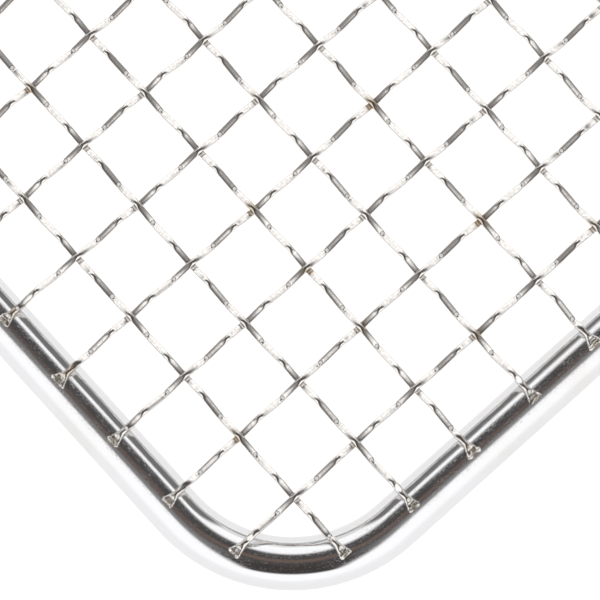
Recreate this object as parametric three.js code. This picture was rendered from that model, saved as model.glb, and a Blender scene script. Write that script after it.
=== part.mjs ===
// Cooling rack for a half-size baking sheet: a round rod bent into a rim, a mesh of thin wires woven
// one over one under and welded on top of it, and a brace rod under the mesh.
// Millimetres. X runs along the rack, Y across it and Z up; z = 0 is the surface it stands on.
import * as THREE from 'three';

// Driving dimensions
const RACK_LENGTH = 420;
const RACK_WIDTH = 297;
const ROD_DIAMETER = 8;
const CORNER_RADIUS = 22.5; // to the rod's centreline
const BRACE_DIAMETER = 5;
const WIRE_DIAMETER = 1;
const WIRE_PITCH = 12;
const LEAST_EDGE_GAP = 12; // from the rod's centreline to the first wire beside it
const WELD_REACH = 1; // how far a wire's end passes the rod's centreline
const CLEARANCE = 0.3; // left between pieces that touch

// How finely the round bars are cut
const ROD_SIDES = 16;
const BRACE_SIDES = 8;
const STEPS_PER_CORNER = 6;

// Rectangle of the rod's centreline, as half sizes, and the middles of its corner arcs
const HALF_LENGTH = (RACK_LENGTH - ROD_DIAMETER) / 2;
const HALF_WIDTH = (RACK_WIDTH - ROD_DIAMETER) / 2;
const ARC_X = HALF_LENGTH - CORNER_RADIUS;
const ARC_Y = HALF_WIDTH - CORNER_RADIUS;

// A wire is a square bar with the area of the round wire
const WIRE_HALF = (WIRE_DIAMETER * Math.sqrt(Math.PI)) / 4;
const WELD_LEVEL = ROD_DIAMETER + CLEARANCE + WIRE_HALF;
const MESH_LEVEL = ROD_DIAMETER + WIRE_DIAMETER / 2;
const WEAVE_RISE = WIRE_HALF + CLEARANCE / 2;
const BRACE_TOP = MESH_LEVEL - WEAVE_RISE - WIRE_HALF - CLEARANCE;

const plating = new THREE.MeshStandardMaterial({ color: 0xd9dadc, metalness: 1, roughness: 0.16 });
const wirePlating = new THREE.MeshStandardMaterial({ color: 0xcfcdc8, metalness: 1, roughness: 0.24 });

const rack = new THREE.Group();
rack.name = 'cooling_rack';

// The sections are loops of points, anticlockwise as seen by someone whom the sweep moves towards.
function sweptBody(sections, isRing) {
  const sides = sections[0].length;
  const triangles = [];
  const spans = isRing ? sections.length : sections.length - 1;
  for (let span = 0; span < spans; span += 1) {
    const here = span * sides;
    const ahead = ((span + 1) % sections.length) * sides;
    for (let side = 0; side < sides; side += 1) {
      const next = (side + 1) % sides;
      triangles.push(here + side, here + next, ahead + next);
      triangles.push(here + side, ahead + next, ahead + side);
    }
  }
  if (!isRing) {
    const last = (sections.length - 1) * sides;
    for (let side = 1; side < sides - 1; side += 1) {
      triangles.push(0, side + 1, side);
      triangles.push(last, last + side, last + side + 1);
    }
  }
  const geometry = new THREE.BufferGeometry().setFromPoints(sections.flat());
  geometry.setIndex(triangles);
  geometry.computeVertexNormals();
  return geometry;
}

// Outline of a round bar as [sideways, up] pairs, with a flat facing down and one facing up
function roundOutline(diameter, sides) {
  const radius = diameter / 2 / Math.cos(Math.PI / sides);
  return Array.from({ length: sides }, (_, side) => {
    const angle = ((side + 0.5) * 2 * Math.PI) / sides;
    return [radius * Math.cos(angle), radius * Math.sin(angle)];
  });
}

// One section of a bar at a point of its centreline; sideways is a level unit vector
function sectionAt(centre, sideways, outline) {
  return outline.map(([across, up]) =>
    centre.clone().addScaledVector(sideways, across).add(new THREE.Vector3(0, 0, up)));
}

function addPiece(name, geometry, material) {
  const piece = new THREE.Mesh(geometry, material);
  piece.name = name;
  rack.add(piece);
  return piece;
}

// Rim: the rod's centreline is a rectangle with round corners, followed clockwise from above
function rimGeometry() {
  const outline = roundOutline(ROD_DIAMETER, ROD_SIDES);
  const sections = [];
  for (let corner = 0; corner < 4; corner += 1) {
    const start = -corner * Math.PI / 2;
    const middleX = corner === 0 || corner === 1 ? ARC_X : -ARC_X;
    const middleY = corner === 1 || corner === 2 ? -ARC_Y : ARC_Y;
    for (let step = 0; step <= STEPS_PER_CORNER; step += 1) {
      const angle = start + Math.PI / 2 - (step * Math.PI) / 2 / STEPS_PER_CORNER;
      const outward = new THREE.Vector3(Math.cos(angle), Math.sin(angle), 0);
      const middle = new THREE.Vector3(middleX, middleY, ROD_DIAMETER / 2);
      sections.push(sectionAt(middle.addScaledVector(outward, CORNER_RADIUS), outward, outline));
    }
  }
  return sweptBody(sections, true);
}

// Where the wires of one set lie: as many as fit, centred between two sides of the rim
function wireOffsets(halfSpan) {
  const gaps = Math.floor((2 * (halfSpan - LEAST_EDGE_GAP)) / WIRE_PITCH);
  return Array.from({ length: gaps + 1 }, (_, wire) => (wire - gaps / 2) * WIRE_PITCH);
}

// How far from the middle a wire at this offset ends: on the rod's top, round the corners too
function weldDistance(offset, arcAcross, arcAlong) {
  const intoCorner = Math.max(0, Math.abs(offset) - arcAcross);
  return arcAlong + Math.sqrt((CORNER_RADIUS + WELD_REACH) ** 2 - intoCorner ** 2);
}

// Centreline of one wire as [along, height] pairs: welded end, every crossing, welded end
function wireProfile(crossings, endAlong, startsOver) {
  const bends = crossings.map((along, crossing) => {
    const isOver = (crossing % 2 === 0) === startsOver;
    return [along, MESH_LEVEL + (isOver ? WEAVE_RISE : -WEAVE_RISE)];
  });
  return [[-endAlong, WELD_LEVEL], ...bends, [endAlong, WELD_LEVEL]];
}

// A straight bar, or one bent up and down only, that runs along X
function barAlongX(profile, outline) {
  const sideways = new THREE.Vector3(0, 1, 0);
  return sweptBody(profile.map(([along, height]) =>
    sectionAt(new THREE.Vector3(along, 0, height), sideways, outline)), false);
}

const wireOutline = [[-1, -1], [1, -1], [1, 1], [-1, 1]].map(([across, up]) =>
  [across * WIRE_HALF, up * WIRE_HALF]);
const longWireOffsets = wireOffsets(HALF_WIDTH);
const crossWireOffsets = wireOffsets(HALF_LENGTH);
const wireNumber = (wire) => String(wire + 1).padStart(2, '0');

addPiece('rim_rod', rimGeometry(), plating);

longWireOffsets.forEach((offset, wire) => {
  const end = weldDistance(offset, ARC_Y, ARC_X);
  const profile = wireProfile(crossWireOffsets, end, wire % 2 === 0);
  const piece = addPiece(`long_wire_${wireNumber(wire)}`, barAlongX(profile, wireOutline), wirePlating);
  piece.position.y = offset;
});

crossWireOffsets.forEach((offset, wire) => {
  const end = weldDistance(offset, ARC_X, ARC_Y);
  const profile = wireProfile(longWireOffsets, end, wire % 2 !== 0);
  const piece = addPiece(`cross_wire_${wireNumber(wire)}`, barAlongX(profile, wireOutline), wirePlating);
  piece.rotation.z = Math.PI / 2;
  piece.position.x = offset;
});

// Brace: a straight rod across the middle, close under the mesh, between the sides of the rim
const braceEnd = HALF_WIDTH - ROD_DIAMETER / 2 - CLEARANCE;
const braceLevel = BRACE_TOP - BRACE_DIAMETER / 2;
const brace = addPiece('brace_rod',
  barAlongX([[-braceEnd, braceLevel], [braceEnd, braceLevel]], roundOutline(BRACE_DIAMETER, BRACE_SIDES)),
  plating);
brace.rotation.z = Math.PI / 2;

export default rack;
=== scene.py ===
"""The looks of a bakery cooling rack: a bright-plated rod rim with a woven, crimped wire mesh on it.

Everything is in metres, in the frame of the CAD model: X along the rack, Y across it, Z up,
z = 0 the surface that it stands on. Places come from the CAD nodes' boxes.
"""

import math
import random

import bpy
import numpy as np
from mathutils import Matrix, Vector


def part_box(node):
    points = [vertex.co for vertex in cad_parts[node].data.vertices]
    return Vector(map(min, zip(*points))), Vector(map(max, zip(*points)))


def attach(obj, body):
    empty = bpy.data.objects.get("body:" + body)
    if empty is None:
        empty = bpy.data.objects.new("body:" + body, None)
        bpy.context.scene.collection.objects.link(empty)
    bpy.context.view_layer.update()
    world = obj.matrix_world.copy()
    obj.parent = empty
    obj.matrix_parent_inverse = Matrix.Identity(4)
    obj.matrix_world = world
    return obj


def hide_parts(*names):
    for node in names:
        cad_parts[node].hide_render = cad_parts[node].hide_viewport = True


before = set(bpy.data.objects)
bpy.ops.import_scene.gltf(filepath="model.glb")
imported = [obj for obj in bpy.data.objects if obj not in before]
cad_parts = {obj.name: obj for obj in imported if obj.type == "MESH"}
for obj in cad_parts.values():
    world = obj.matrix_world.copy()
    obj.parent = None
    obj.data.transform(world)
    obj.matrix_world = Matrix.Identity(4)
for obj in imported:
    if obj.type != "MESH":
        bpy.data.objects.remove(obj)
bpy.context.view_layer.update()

MM = 0.001
rng = random.Random(7)
shape_rng = np.random.default_rng(7)

# ---------------------------------------------------------------- sizes read from the frame

rim_low, rim_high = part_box("rim_rod")
brace_low, brace_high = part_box("brace_rod")
ROD_RADIUS = (rim_high.z - rim_low.z) / 2
BRACE_RADIUS = (brace_high.x - brace_low.x) / 2
HALF_LENGTH = rim_high.x - ROD_RADIUS
HALF_WIDTH = rim_high.y - ROD_RADIUS
ROD_TOP = rim_high.z

long_nodes = sorted(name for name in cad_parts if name.startswith("long_wire"))
cross_nodes = sorted(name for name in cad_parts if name.startswith("cross_wire"))


def box_centre(node):
    low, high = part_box(node)
    return (low + high) / 2


long_lines = [box_centre(node).y for node in long_nodes]
cross_lines = [box_centre(node).x for node in cross_nodes]
WIRE_PITCH = cross_lines[1] - cross_lines[0]

# ---------------------------------------------------------------- sizes that the boxes don't show

CORNER_RADIUS = 22.5 * MM
WIRE_RADIUS = 0.5 * MM
MESH_LEVEL = ROD_TOP + WIRE_RADIUS
CRIMPS_PER_PITCH = 3  # half waves between two crossings
WEAVE_AMPLITUDE = WIRE_RADIUS * 1.02
CRIMP_AMPLITUDE = 0.70 * MM
CRIMP_SHARPNESS = 0.99  # 0 is a sine wave, 1 is a zigzag
STATIONS_PER_CRIMP = 12
WIRE_SIDES = 16
CRIMP_LENGTH = WIRE_PITCH / CRIMPS_PER_PITCH
# From a crossing to the nearest bend, as a share of the pitch, so that every flank is equally steep.
NEAR_BEND = (WEAVE_AMPLITUDE + CRIMP_AMPLITUDE) / (2 * WEAVE_AMPLITUDE + 4 * CRIMP_AMPLITUDE)
DENT_RADIUS = 0.32 * MM
DENT_SHIFT = 0.10  # from the valley towards the next crest, as a share of a crimp's length
DENT_DEPTH = 0.10  # as a share of the wire's radius
STAIN_REACH = 1.8 * MM
ROD_SIDES = 64

# ---------------------------------------------------------------- camera

LENS = 250.0
SENSOR = 36.0
VIEW_WIDTH = 88.5 * MM  # what the picture spans at the mesh
PICTURE_UP = math.radians(47.9)  # direction of the picture's top, from +X towards +Y
CAMERA_TILT = math.radians(11.0)  # from straight above, towards the picture's bottom
AIM_INSIDE_CORNER = Vector((38.15 * MM, 37.65 * MM))  # from the corner of the rim's box

PICTURE_RIGHT = Vector((math.sin(PICTURE_UP), -math.cos(PICTURE_UP), 0))
TO_CAMERA = Matrix.Rotation(CAMERA_TILT, 3, PICTURE_RIGHT) @ Vector((0, 0, 1))
PICTURE_TOP = TO_CAMERA.cross(PICTURE_RIGHT)


def make_camera():
    data = bpy.data.cameras.new("camera")
    data.lens = LENS
    data.sensor_width = SENSOR
    camera = bpy.data.objects.new("camera", data)
    bpy.context.scene.collection.objects.link(camera)
    distance = VIEW_WIDTH * LENS / SENSOR
    aim = Vector((rim_low.x + AIM_INSIDE_CORNER.x, rim_low.y + AIM_INSIDE_CORNER.y, MESH_LEVEL))
    camera.matrix_world = Matrix((PICTURE_RIGHT, PICTURE_TOP, TO_CAMERA)).transposed().to_4x4()
    camera.location = aim + TO_CAMERA * distance
    data.clip_start = 0.01
    data.clip_end = 100
    bpy.context.scene.camera = camera


make_camera()

# ---------------------------------------------------------------- materials


class Nodes:
    """A node tree that is built by calls."""

    def __init__(self, tree):
        self.tree = tree
        tree.nodes.clear()

    def add(self, kind, **settings):
        node = self.tree.nodes.new(kind)
        for key, value in settings.items():
            if key in node.inputs:
                node.inputs[key].default_value = value
            else:
                setattr(node, key, value)
        return node

    def link(self, source, target):
        self.tree.links.new(source, target)
        return target

    def noise(self, vector, scale, detail, roughness):
        """Noise with about that many blobs to the metre."""
        node = self.add("ShaderNodeTexNoise", Scale=scale, Detail=detail, Roughness=roughness)
        self.link(vector, node.inputs["Vector"])
        return node.outputs["Fac"]

    def ramp(self, value, low, high, to_low=0.0, to_high=1.0):
        """to_low where the value is low, to_high where it is high, and a smooth change between."""
        node = self.add("ShaderNodeMapRange", interpolation_type="SMOOTHSTEP")
        self.link(value, node.inputs["Value"])
        limits = {"From Min": low, "From Max": high, "To Min": to_low, "To Max": to_high}
        for key, number in limits.items():
            node.inputs[key].default_value = number
        return node.outputs["Result"]

    def maths(self, operation, *values):
        node = self.add("ShaderNodeMath", operation=operation)
        for socket, value in zip(node.inputs, values):
            if isinstance(value, (int, float)):
                socket.default_value = value
            else:
                self.link(value, socket)
        return node.outputs[0]

    def product(self, first, *others):
        for other in others:
            first = self.maths("MULTIPLY", first, other)
        return first

    def distance(self, across, up):
        squares = self.maths("ADD", self.product(across, across), self.product(up, up))
        return self.maths("SQRT", squares)

    def split(self, vector):
        node = self.add("ShaderNodeSeparateXYZ")
        self.link(vector, node.inputs["Vector"])
        return node.outputs

    def mix(self, factor, first, second):
        """The first colour where the factor is 0, the second where it is 1."""
        node = self.add("ShaderNodeMix", data_type="RGBA")
        self.link(factor, node.inputs[0])
        # The node has sockets for each kind of data. Inputs 6 and 7 and output 2 are the colours.
        for socket, value in zip((node.inputs[6], node.inputs[7]), (first, second)):
            if isinstance(value, tuple):
                socket.default_value = (*value, 1)
            else:
                self.link(value, socket)
        return node.outputs[2]


def new_material(name):
    material = bpy.data.materials.new(name)
    material.use_nodes = True
    return material, Nodes(material.node_tree)


def finish_metal(nodes, colour, roughness, height, bump_distance, metallic=None):
    shader = nodes.add("ShaderNodeBsdfPrincipled", Metallic=1.0)
    if metallic is not None:
        nodes.link(metallic, shader.inputs["Metallic"])
    nodes.link(colour, shader.inputs["Base Color"])
    nodes.link(roughness, shader.inputs["Roughness"])
    bump = nodes.add("ShaderNodeBump", Distance=bump_distance)
    nodes.link(height, bump.inputs["Height"])
    nodes.link(bump.outputs["Normal"], shader.inputs["Normal"])
    output = nodes.add("ShaderNodeOutputMaterial")
    nodes.link(shader.outputs["BSDF"], output.inputs["Surface"])


# Colours are linear red, green and blue.
ROD_CHROME = (0.68, 0.68, 0.69)
ROD_TARNISH = (0.66, 0.65, 0.64)
ROD_RELIEF = 0.0012 * MM
DRAWN_OUT = 0.15  # how fast the rod's pattern changes along it, against 1 around it


def rod_plating():
    """Chrome with fine draw lines, thin clouds of tarnish, and scuffs along the top."""
    material, nodes = new_material("rod_plating")
    uv = nodes.add("ShaderNodeUVMap", uv_map="along").outputs["UV"]
    place = nodes.add("ShaderNodeTexCoord").outputs["Object"]
    stretch = nodes.add("ShaderNodeMapping")
    stretch.inputs["Scale"].default_value = (DRAWN_OUT, 1.0, 1.0)
    nodes.link(uv, stretch.inputs["Vector"])
    drawn = stretch.outputs["Vector"]
    lines = nodes.noise(drawn, 12000, 3, 0.6)
    fine_lines = nodes.noise(drawn, 18000, 2, 0.6)
    blotches = nodes.noise(drawn, 1800, 3, 0.6)
    cloud = nodes.noise(place, 90, 4, 0.6)
    colour = nodes.mix(nodes.ramp(cloud, 0.50, 0.75), ROD_CHROME, ROD_TARNISH)
    normal = nodes.split(nodes.add("ShaderNodeNewGeometry").outputs["Normal"])
    rubbed = nodes.ramp(normal["Z"], 0.84, 0.94)  # the top, where racks slide on each other
    scuffs = nodes.product(
        nodes.ramp(lines, 0.45, 0.70, 0.0, 0.42),
        rubbed,
        nodes.ramp(blotches, 0.38, 0.62, 0.25, 1.0),
        nodes.ramp(cloud, 0.40, 0.56, 0.60, 1.0),
    )
    roughness = nodes.maths("ADD", nodes.ramp(fine_lines, 0.45, 0.70, 0.03, 0.10), scuffs)
    roughness = nodes.maths("MULTIPLY_ADD", rubbed, 0.06, roughness)
    height = nodes.maths("MULTIPLY_ADD", fine_lines, 0.4, lines)
    finish_metal(nodes, colour, roughness, height, ROD_RELIEF)
    return material


WIRE_CHROME = (0.74, 0.72, 0.70)
WIRE_GRAIN = (0.66, 0.63, 0.60)
BURNT_BROWN = (0.25, 0.20, 0.14)
BURNT_STRAW = (0.86, 0.82, 0.70)
STAIN_BROWN = (0.47, 0.38, 0.27)
# Painted light at the tooth dents: a dark ring of painted shade round each, and a painted white
# highlight in its middle.
DENT_PAINTED_SHADE = (0.20, 0.185, 0.175)
DENT_PAINTED_HIGHLIGHT = (0.95, 0.93, 0.91)
WIRE_RELIEF = 0.10 * MM


def wire_plating():
    """Grainy chrome, burnt at the welds, stained at some crossings and dented by the crimping teeth,
    with painted shade in a dark ring round each dent and a painted white highlight in its middle.
    """
    material, nodes = new_material("wire_plating")
    place = nodes.add("ShaderNodeTexCoord").outputs["Object"]
    weld = nodes.add("ShaderNodeAttribute", attribute_name="weld").outputs["Fac"]
    grain = nodes.noise(place, 2600, 3, 0.6)
    pits = nodes.noise(place, 4200, 4, 0.7)
    bright = nodes.mix(nodes.ramp(grain, 0.4, 0.7), WIRE_CHROME, WIRE_GRAIN)
    burnt = nodes.mix(nodes.ramp(pits, 0.46, 0.66), BURNT_BROWN, BURNT_STRAW)

    # Brown stains at some of the crossings, which lie at whole pitches from the middle of the rack.
    plan = nodes.split(place)
    from_lines = [nodes.maths("PINGPONG", plan[axis], WIRE_PITCH / 2) for axis in "XY"]
    from_crossing = nodes.maths("MAXIMUM", *from_lines)
    stained = nodes.product(
        nodes.ramp(nodes.noise(place, 120, 1, 0.5), 0.52, 0.64),
        nodes.ramp(from_crossing, STAIN_REACH, 0.3 * STAIN_REACH),
        nodes.ramp(pits, 0.35, 0.65, 0.4, 0.8),
    )
    bright = nodes.mix(stained, bright, STAIN_BROWN)
    colour = nodes.mix(weld, bright, burnt)
    plain_roughness = nodes.ramp(grain, 0.3, 0.7, 0.13, 0.21)
    weld_roughness = nodes.product(weld, nodes.ramp(pits, 0.35, 0.65, 0.12, 0.0))
    roughness = nodes.maths("ADD", plain_roughness, weld_roughness)

    # A small round dent beside each valley, where the crimping tooth pressed. The map's U counts crimps,
    # so that a wave is two of them, and the valley is half way along it.
    uv = nodes.split(nodes.add("ShaderNodeUVMap", uv_map="along").outputs["UV"])
    wave = nodes.maths("FRACT", nodes.product(uv["X"], 0.5))
    along = nodes.product(nodes.maths("SUBTRACT", wave, 0.5 + DENT_SHIFT / 2), 2 * CRIMP_LENGTH)
    radius = nodes.distance(along, uv["Y"])
    dent = nodes.ramp(radius, DENT_RADIUS, DENT_RADIUS * 0.7)
    # Painted shade and highlight: a dark ring round each dent, and a white spot in its middle.
    dent_painted_shade = nodes.maths("SUBTRACT", nodes.ramp(radius, DENT_RADIUS * 1.5, DENT_RADIUS), dent)
    colour = nodes.mix(nodes.product(dent_painted_shade, 0.75), colour, DENT_PAINTED_SHADE)
    colour = nodes.mix(dent, colour, DENT_PAINTED_HIGHLIGHT)
    height = nodes.maths("ADD", nodes.product(grain, 0.025), nodes.product(weld, pits))
    height = nodes.maths("SUBTRACT", height, nodes.product(dent, 0.6))
    # The painted highlight's spot is made rough and barely metallic, so that it stays white however the
    # light falls.
    roughness = nodes.maths("MULTIPLY_ADD", dent, 0.8, roughness)
    metallic = nodes.maths("MULTIPLY_ADD", dent, -0.8, 1.0)
    finish_metal(nodes, colour, roughness, height, WIRE_RELIEF, metallic)
    return material


PAPER_WHITE = (0.55, 0.55, 0.55)
PAPER_GRAIN = (0.57, 0.57, 0.57)
FLOOR_GLOW = 0.82


def floor_white():
    """Paper that glows enough to look white, and still shows the rack's soft shadow."""
    material, nodes = new_material("floor_white")
    place = nodes.add("ShaderNodeTexCoord").outputs["Object"]
    paper = nodes.noise(place, 400, 2, 0.5)
    shader = nodes.add("ShaderNodeBsdfPrincipled", Roughness=0.9)
    shader.inputs["Emission Color"].default_value = (1, 1, 1, 1)
    shader.inputs["Emission Strength"].default_value = FLOOR_GLOW
    nodes.link(nodes.mix(paper, PAPER_WHITE, PAPER_GRAIN), shader.inputs["Base Color"])
    output = nodes.add("ShaderNodeOutputMaterial")
    nodes.link(shader.outputs["BSDF"], output.inputs["Surface"])
    return material


ROD_PLATING = rod_plating()
WIRE_PLATING = wire_plating()

# ---------------------------------------------------------------- swept meshes


def tube_points(centres, outlines, is_ring):
    """The outlines' points in place across the tube's path, with each outline's sideways kept level."""
    if is_ring:
        tangents = np.roll(centres, -1, 0) - np.roll(centres, 1, 0)
    else:
        tangents = np.gradient(centres, axis=0)
    tangents /= np.linalg.norm(tangents, axis=1, keepdims=True)
    sideways = np.cross(tangents, (0, 0, 1))
    sideways /= np.linalg.norm(sideways, axis=1, keepdims=True)
    ups = np.cross(sideways, tangents)
    axes = np.stack([sideways, ups, tangents], axis=1)
    points = centres[:, None] + np.einsum("nsk,nkd->nsd", outlines, axes)
    return points.reshape(-1, 3)


def tube_faces(count, sides, is_ring):
    """Four-sided faces from each outline to the next and, unless it is a ring, a cap at each end."""
    spans = count if is_ring else count - 1
    here = (np.arange(spans) * sides)[:, None]
    ahead = ((np.arange(spans) + 1) % count * sides)[:, None]
    side = np.arange(sides)[None]
    next_side = (side + 1) % sides
    quads = np.stack([here + side, here + next_side, ahead + next_side, ahead + side], axis=-1)
    faces = quads.reshape(-1, 4).tolist()
    if not is_ring:
        last = (count - 1) * sides
        faces.append(list(range(sides))[::-1])
        faces.append(list(range(last, last + sides)))
    return faces


def map_tube(mesh, outlines, along, is_ring):
    """A map with along as U, and as V the length around from the tube's top. Its seam is underneath."""
    count, sides = outlines.shape[:2]
    top, seam = sides // 4, 3 * sides // 4
    edges = np.linalg.norm(outlines - np.roll(outlines, 1, axis=1), axis=2)
    arcs = np.cumsum(edges, axis=1)
    arcs -= arcs[:, [top]] - edges[:, [top]] / 2
    corner_vertex = np.empty(len(mesh.loops), np.int32)
    mesh.loops.foreach_get("vertex_index", corner_vertex)
    station, corner_side = corner_vertex // sides, corner_vertex % sides

    # The second and third corners of a quad are on its next side. Past the seam, V goes on below zero.
    quads = sides * (count if is_ring else count - 1)
    meets_seam = np.zeros(len(mesh.loops), bool)
    meets_seam[:4 * quads] = np.tile([False, True, True, False], quads)
    meets_seam &= corner_side == seam
    is_below_zero = (corner_side >= seam) & ~meets_seam
    around = arcs[station, corner_side] - edges.sum(axis=1)[station] * is_below_zero
    uv = mesh.uv_layers.new(name="along")
    uv.data.foreach_set("uv", np.stack([along[station], around], axis=1).ravel().astype(np.float32))


def swept_mesh(name, centres, outlines, is_ring, material, along, weld=None):
    """A closed tube.

    centres is (n, 3). outlines is (n, sides, 3): sideways, up and along from the centre.
    along has n values, and weld one for each point of the outlines.
    """
    count, sides = outlines.shape[:2]
    points = tube_points(centres, outlines, is_ring)
    mesh = bpy.data.meshes.new(name)
    mesh.from_pydata(points.tolist(), [], tube_faces(count, sides, is_ring))
    map_tube(mesh, outlines, along, is_ring)
    if weld is not None:
        attribute = mesh.attributes.new("weld", "FLOAT", "POINT")
        attribute.data.foreach_set("value", weld.ravel().astype(np.float32))
    mesh.shade_smooth()
    mesh.materials.append(material)
    piece = bpy.data.objects.new(name, mesh)
    bpy.context.scene.collection.objects.link(piece)
    return piece


def circle(radius, sides):
    """An outline that goes round from sideways over the top."""
    angles = (np.arange(sides) + 0.5) * 2 * np.pi / sides
    return np.stack([radius * np.cos(angles), radius * np.sin(angles), np.zeros(sides)], axis=1)


def path_lengths(points):
    steps = np.linalg.norm(np.diff(points, axis=0), axis=1)
    return np.concatenate([[0], np.cumsum(steps)])


def smooth(value):
    """0 below 0, 1 above 1, and a smooth change between."""
    value = np.clip(value, 0, 1)
    return value * value * (3 - 2 * value)


# ---------------------------------------------------------------- rim and brace

STEP_ON_STRAIGHT = 3 * MM
STEPS_PER_CORNER = 40
BRACE_STEP = 0.5 * MM
BRACE_SIDES = 40
BRACE_FILLET = 0.15  # how much the weld thickens the brace at each end
BRACE_SINK = 0.015  # how far each end goes into the rim, as a share of the rod's radius


def rim_centreline():
    """Points round the rim, clockwise from above, and close together in the corners."""
    arc_x = HALF_LENGTH - CORNER_RADIUS
    arc_y = HALF_WIDTH - CORNER_RADIUS
    points = []
    for corner, (sign_x, sign_y) in enumerate(((1, 1), (1, -1), (-1, -1), (-1, 1))):
        start = math.pi / 2 * (1 - corner)
        for step in range(STEPS_PER_CORNER + 1):
            angle = start - math.pi / 2 * step / STEPS_PER_CORNER
            x = sign_x * arc_x + CORNER_RADIUS * math.cos(angle)
            y = sign_y * arc_y + CORNER_RADIUS * math.sin(angle)
            points.append((x, y, ROD_RADIUS))
        straight = 2 * (arc_y if corner % 2 == 0 else arc_x)
        steps = round(straight / STEP_ON_STRAIGHT)
        turned = start - math.pi / 2
        run = (math.sin(turned), -math.cos(turned))
        for step in range(1, steps):
            gone = straight * step / steps
            points.append((x + run[0] * gone, y + run[1] * gone, ROD_RADIUS))
    return np.array(points)


def make_rim():
    centres = rim_centreline()
    along = path_lengths(centres)
    outlines = np.repeat(circle(ROD_RADIUS, ROD_SIDES)[None], len(centres), axis=0)
    piece = swept_mesh("rim", centres, outlines, True, ROD_PLATING, along)
    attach(piece, "root")
    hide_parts("rim_rod")


def make_brace():
    level = MESH_LEVEL - WEAVE_AMPLITUDE - WIRE_RADIUS - BRACE_RADIUS
    inside = HALF_WIDTH - ROD_RADIUS * (1 - BRACE_SINK)
    stations = np.arange(-inside, inside + BRACE_STEP, BRACE_STEP).clip(-inside, inside)
    centres = np.stack([np.zeros_like(stations), stations, np.full_like(stations, level)], axis=1)
    fillet = 1 + BRACE_FILLET * smooth((np.abs(stations) - (inside - BRACE_RADIUS)) / BRACE_RADIUS)
    outlines = circle(BRACE_RADIUS, BRACE_SIDES)[None] * fillet[:, None, None]
    piece = swept_mesh("brace", centres, outlines, False, ROD_PLATING, stations)
    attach(piece, "root")
    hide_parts("brace_rod")


make_rim()
make_brace()

# ---------------------------------------------------------------- mesh wires

WELD_REACH = 1.0 * MM  # how far the CAD wires run past the rod's middle
MELTED_LENGTH = 0.25 * MM  # how much of that the weld takes up
WELD_LENGTH = 2.4 * MM
WELD_HALF_WIDTH = 1.08 * MM
WELD_HALF_HEIGHT = 0.40 * MM
WELD_SINK = 0.08 * MM
SETTLE_LENGTH = 2.4 * MM  # over which the last crimp runs out into the weld
WELD_STATIONS = 22
WELD_FULL_AT = 0.9  # the share of its length after which a weld is at its widest
WELD_CURVE = 1.4  # above 1, a weld widens late
WELD_THINNING = 0.3
WELD_LUMPS = 0.11 * MM
GROOVE_WIDTH = 0.55  # as a share of the section's half width
RAGGED_EDGE = 0.05
TIP_ROUNDING = 0.4 * MM
TIP_BLUNTNESS = 0.95  # at 1 a tip would end in an edge
# The crimping dies press the straight flanks between bends wider, lower and squarer.
FLANK_SPREAD = 0.04
FLANK_SQUASH = 0.08
FLANK_SQUARENESS = 2.3
FLANK_EDGE = 8  # how soon after a bend the wire has its pressed section
SHORTEST_STEP = 0.2  # as a share of the usual one
# A wire wanders in long and short waves, and has a small kink at each bend.
WANDER = 0.14 * MM
SHORT_WANDER = 0.6  # as a share of the long waves
KINK = 0.035 * MM
KINK_AT_CROSSING = 0.5  # as a share of other kinks
# Random values lie between these limits.
CRIMP_UNEVENNESS = (0.92, 1.07)
LONG_WAVES = (18, 30)  # millimetres for each radian
SHORT_WAVES = (7, 12)
WAVE_STARTS = (0, 6.3)  # radians
WELD_WIDTHS = (0.9, 1.3)
WELD_GROOVES = (0.5, 0.95)
WELD_FORKS = (0.0, 0.3)  # millimetres


def zigzag(phase):
    """A wave from 1 to -1 and back each turn, with straight flanks and tight bends."""
    return np.arcsin(CRIMP_SHARPNESS * np.cos(phase)) / math.asin(CRIMP_SHARPNESS)


def wire_stations(crossings, end):
    """Places along a wire, close together everywhere that it bends."""
    step = CRIMP_LENGTH / STATIONS_PER_CRIMP
    inner = np.arange(0, round((crossings[-1] - crossings[0]) / step) + 1) * step + crossings[0]
    lead = np.arange(1, int((end + crossings[0] - WELD_LENGTH) / step) + 1) * step
    ends = np.linspace(end - WELD_LENGTH, end, WELD_STATIONS)
    outer = np.concatenate([crossings[-1] + lead, ends])
    keep = np.concatenate([[True], np.diff(outer) > step * SHORTEST_STEP])
    outer = outer[keep]
    return np.concatenate([-outer[::-1], inner, outer])


def wave_phase(stations, first_crossing, starts_over):
    """The phase of the wire's wave: a whole number of half turns at each crossing and bend."""
    pitches, part = np.divmod((stations - first_crossing) / WIRE_PITCH, 1)
    bends = np.interp(part, (0, NEAR_BEND, 1 - NEAR_BEND, 1), range(CRIMPS_PER_PITCH + 1))
    phase = (pitches * CRIMPS_PER_PITCH + bends) * math.pi
    return phase if starts_over else phase + math.pi


def uneven_bends(phase, starts_over):
    """The wave's amplitude and its sideways kinks, which differ from bend to bend."""
    half_waves = phase / math.pi
    bends = np.arange(round(half_waves.min()), round(half_waves.max()) + 1)
    at_crossing = (bends - (0 if starts_over else 1)) % CRIMPS_PER_PITCH == 0
    amplitudes = np.array([
        WEAVE_AMPLITUDE if crossing else CRIMP_AMPLITUDE * rng.uniform(*CRIMP_UNEVENNESS)
        for crossing in at_crossing
    ])
    kinks = np.array([
        rng.gauss(0, KINK) * (KINK_AT_CROSSING if crossing else 1) for crossing in at_crossing
    ])
    return np.interp(half_waves, bends, amplitudes), np.interp(half_waves, bends, kinks)


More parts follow.
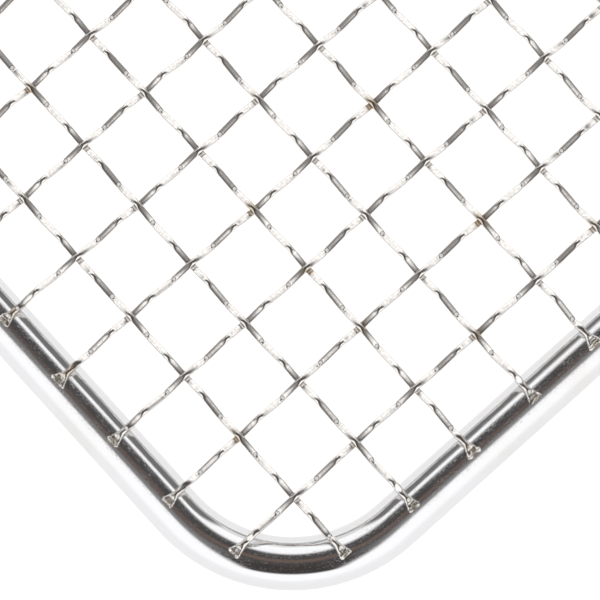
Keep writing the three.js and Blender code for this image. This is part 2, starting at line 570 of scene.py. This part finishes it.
def wire_shape(crossings, end, starts_over):
    """For each station of one wire: its place along, up and sideways, and how much it is weld and flank.

    The last result counts crimps.
    """
    stations = wire_stations(crossings, end)
    phase = wave_phase(stations, crossings[0], starts_over)
    amplitude, kink = uneven_bends(phase, starts_over)
    height = MESH_LEVEL + amplitude * zigzag(phase)
    sway = np.sin(stations / rng.uniform(*LONG_WAVES) / MM + rng.uniform(*WAVE_STARTS))
    sway += SHORT_WANDER * np.sin(stations / rng.uniform(*SHORT_WAVES) / MM + rng.uniform(*WAVE_STARTS))
    sideways = WANDER * sway + kink

    # Towards its end the wire settles onto the rod, and past the rod's middle it bends down with it.
    from_middle = np.abs(stations)
    weld_level = ROD_TOP + WELD_HALF_HEIGHT - WELD_SINK
    to_weld = smooth((from_middle - (end - WELD_LENGTH - SETTLE_LENGTH)) / SETTLE_LENGTH)
    height = height + (weld_level - height) * to_weld
    past_crown = np.clip(from_middle - (end + MELTED_LENGTH - WELD_REACH), 0, None)
    height = height + np.sqrt(ROD_RADIUS ** 2 - past_crown ** 2) - ROD_RADIUS
    into_weld = (from_middle - (end - WELD_LENGTH)) / (WELD_LENGTH * WELD_FULL_AT)
    into_weld = np.clip(into_weld, 0, 1) ** WELD_CURVE
    flank = smooth(FLANK_EDGE * (1 - np.abs(np.cos(phase)))) * (1 - to_weld)
    return stations, height, sideways, into_weld, flank, phase / math.pi


def uneven_welds(side):
    """The width, groove and fork of the weld at the end that each station is nearer to."""
    limits = (WELD_WIDTHS, WELD_GROOVES, WELD_FORKS)
    welds = {end: [rng.uniform(*pair) for pair in limits] for end in (-1, 1)}
    return np.array([welds[end] for end in side]).T


def power_keeping_sign(values, power):
    return np.sign(values) * np.abs(values) ** power


def wire_outlines(stations, end, into_weld, flank, crimps):
    """Round sections that become a flat and dented fan at each end, and how pitted each point is."""
    base = circle(1.0, WIRE_SIDES)[None]
    right, top = base[..., 0], base[..., 1]
    side = np.where(stations < 0, -1, 1)
    spread, groove, fork = uneven_welds(side)
    into_tip = (np.abs(stations) - (end - TIP_ROUNDING)) / TIP_ROUNDING
    into_tip = np.clip(into_tip, 0, TIP_BLUNTNESS)
    rounding = np.sqrt(1 - into_tip ** 2)

    crimped_width = WIRE_RADIUS * (1 + FLANK_SPREAD * flank)
    crimped_height = WIRE_RADIUS * (1 - FLANK_SQUASH * flank)
    weld_width = WELD_HALF_WIDTH * spread * (0.5 + 0.5 * rounding)
    weld_height = WELD_HALF_HEIGHT * (1 - WELD_THINNING * into_weld) * rounding
    flattened = smooth(into_weld * 2)
    half_width = crimped_width + (weld_width - crimped_width) * into_weld
    half_height = crimped_height + (weld_height - crimped_height) * flattened
    power = 1 / (1 + FLANK_SQUARENESS * flank)[:, None]
    across = power_keeping_sign(right, power) * half_width[:, None]
    up = power_keeping_sign(top, power) * half_height[:, None]

    ragged = 1 + shape_rng.normal(0, RAGGED_EDGE, (len(stations), 2))
    ragged = np.where(right > 0, ragged[:, :1], ragged[:, 1:])
    across = across * (1 + (ragged - 1) * into_weld[:, None])

    middle = np.exp(-((right / GROOVE_WIDTH) ** 2)) * (top > 0)
    from_dent = np.abs(crimps % 2 - 1 - DENT_SHIFT) * CRIMP_LENGTH
    toothed = DENT_DEPTH * np.clip(1 - from_dent / DENT_RADIUS, 0, 1) * (1 - into_weld)
    dent = groove * smooth(into_weld * 1.5) + toothed
    lumps = shape_rng.normal(0, WELD_LUMPS, up.shape) * into_weld[:, None] * (top > 0)
    sunk = (half_height - WELD_HALF_HEIGHT) * flattened
    up = up * (1 - middle * dent[:, None]) + lumps + sunk[:, None]
    along = (right ** 2 - 0.5) * (fork * into_tip * side)[:, None] * MM
    return np.stack([across, up, along], axis=-1), middle * into_weld[:, None]


def make_wire(node, line, crossings, runs_along_x, starts_over):
    _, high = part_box(node)
    end = (high.x if runs_along_x else high.y) - MELTED_LENGTH
    shape = wire_shape(np.array(crossings), end, starts_over)
    stations, height, sideways, into_weld, flank, crimps = shape
    across = line + sideways
    axes = [stations, across, height] if runs_along_x else [across, stations, height]
    centres = np.stack(axes, axis=1)
    outlines, pitted = wire_outlines(stations, end, into_weld, flank, crimps)
    piece = swept_mesh(node + "_crimped", centres, outlines, False, WIRE_PLATING, crimps, pitted)
    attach(piece, "root")
    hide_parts(node)


for wire, node in enumerate(long_nodes):
    make_wire(node, long_lines[wire], cross_lines, True, wire % 2 == 0)
for wire, node in enumerate(cross_nodes):
    make_wire(node, cross_lines[wire], long_lines, False, wire % 2 == 1)

# ---------------------------------------------------------------- floor and light

FLOOR_SIZE = 12.0
WORLD_STRENGTH = 1.45
SKY = (1.0, 1.0, 1.0)
HAZE = (0.87, 0.87, 0.87)
WALL = (0.70, 0.70, 0.70)
SCREEN = (0.16, 0.157, 0.155)
BAND = (0.16, 0.157, 0.154)
PANEL_TOP = (0.060, 0.056, 0.055)
PANEL_BOTTOM = (0.045, 0.038, 0.037)
PANEL_WARM = (0.150, 0.106, 0.088)
PANEL_LEFT = (0.200, 0.193, 0.189)
PANEL_RIGHT = (0.220, 0.214, 0.210)


def make_floor():
    mesh = bpy.data.meshes.new("floor")
    half = FLOOR_SIZE / 2
    corners = [(-half, -half, 0), (half, -half, 0), (half, half, 0), (-half, half, 0)]
    mesh.from_pydata(corners, [], [(0, 1, 2, 3)])
    mesh.materials.append(floor_white())
    floor = bpy.data.objects.new("floor", mesh)
    bpy.context.scene.collection.objects.link(floor)


def make_world():
    """White all round, with the dark ceiling overhead that bright metal needs for contrast."""
    world = bpy.data.worlds.new("studio")
    world.use_nodes = True
    bpy.context.scene.world = world
    nodes = Nodes(world.node_tree)
    direction = nodes.add("ShaderNodeTexCoord").outputs["Generated"]

    def lean(axis):
        """The cosine of the angle from the axis."""
        node = nodes.add("ShaderNodeVectorMath", operation="DOT_PRODUCT")
        nodes.link(direction, node.inputs[0])
        node.inputs[1].default_value = axis
        return node.outputs["Value"]

    right, top, near = lean(PICTURE_RIGHT), lean(PICTURE_TOP), lean(TO_CAMERA)

    def patch(towards_right, towards_top, half_width, half_height, edge):
        """1 inside an ellipse and 0 outside it. Its place and size are in cosines too."""
        across = nodes.maths("DIVIDE", nodes.maths("SUBTRACT", right, towards_right), half_width)
        up = nodes.maths("DIVIDE", nodes.maths("SUBTRACT", top, towards_top), half_height)
        return nodes.ramp(nodes.distance(across, up), 1 + edge, 1 - edge)

    # The ceiling is a dark panel that widens towards the picture's top, with a wing on each side.
    # All limits are cosines of angles from the picture's right, its top, or the camera.
    aside = nodes.maths("ABSOLUTE", right)
    spread = nodes.maths("MULTIPLY_ADD", top, -0.25, aside)
    middle = nodes.product(
        nodes.ramp(spread, 0.53, 0.37),
        nodes.ramp(near, 0.61, 0.65),
        nodes.ramp(top, 0.76, 0.62),
        nodes.ramp(top, -0.73, -0.61),
    )
    wings = nodes.product(
        nodes.ramp(aside, 0.84, 0.72),
        nodes.ramp(top, 0.36, 0.22),
        nodes.ramp(top, -0.10, -0.02),
    )
    panel = nodes.maths("MAXIMUM", middle, wings)
    # Two dark bands low over the horizon, to the picture's upper left and upper right.
    band = nodes.maths("SUBTRACT", nodes.ramp(near, -0.05, 0.05), nodes.ramp(near, 0.42, 0.49))
    band = nodes.product(band, nodes.ramp(aside, 0.38, 0.48), nodes.ramp(top, 0.45, 0.60))
    # Also low: a grey wall beyond the picture's top, and a slight haze beyond its bottom.
    wall = nodes.product(nodes.ramp(near, 0.30, 0.16), nodes.ramp(top, -0.1, 0.3))
    haze = nodes.product(nodes.ramp(near, 0.45, 0.05), nodes.ramp(top, -0.1, -0.4))
    # Dark screens far to both sides, which mostly show when the rack is seen from low down.
    screens = nodes.product(
        nodes.ramp(aside, 0.85, 0.92),
        nodes.ramp(near, 0.06, 0.14),
        nodes.ramp(near, 0.60, 0.48),
    )

    # The panel has a warm patch towards the top and a lighter patch on each side.
    dark = nodes.mix(nodes.ramp(top, 0.10, -0.20), PANEL_TOP, PANEL_BOTTOM)
    dark = nodes.mix(patch(0, 0.23, 0.19, 0.10, 0.6), dark, PANEL_WARM)
    dark = nodes.mix(patch(-0.42, 0.00, 0.23, 0.25, 0.5), dark, PANEL_LEFT)
    dark = nodes.mix(patch(0.43, 0.00, 0.21, 0.25, 0.5), dark, PANEL_RIGHT)
    colour = nodes.mix(haze, SKY, HAZE)
    colour = nodes.mix(wall, colour, WALL)
    colour = nodes.mix(screens, colour, SCREEN)
    colour = nodes.mix(panel, colour, dark)
    colour = nodes.mix(band, colour, BAND)
    background = nodes.add("ShaderNodeBackground", Strength=WORLD_STRENGTH)
    nodes.link(colour, background.inputs["Color"])
    output = nodes.add("ShaderNodeOutputWorld")
    nodes.link(background.outputs["Background"], output.inputs["Surface"])


make_floor()
make_world()
bpy.context.scene.view_settings.view_transform = "Standard"
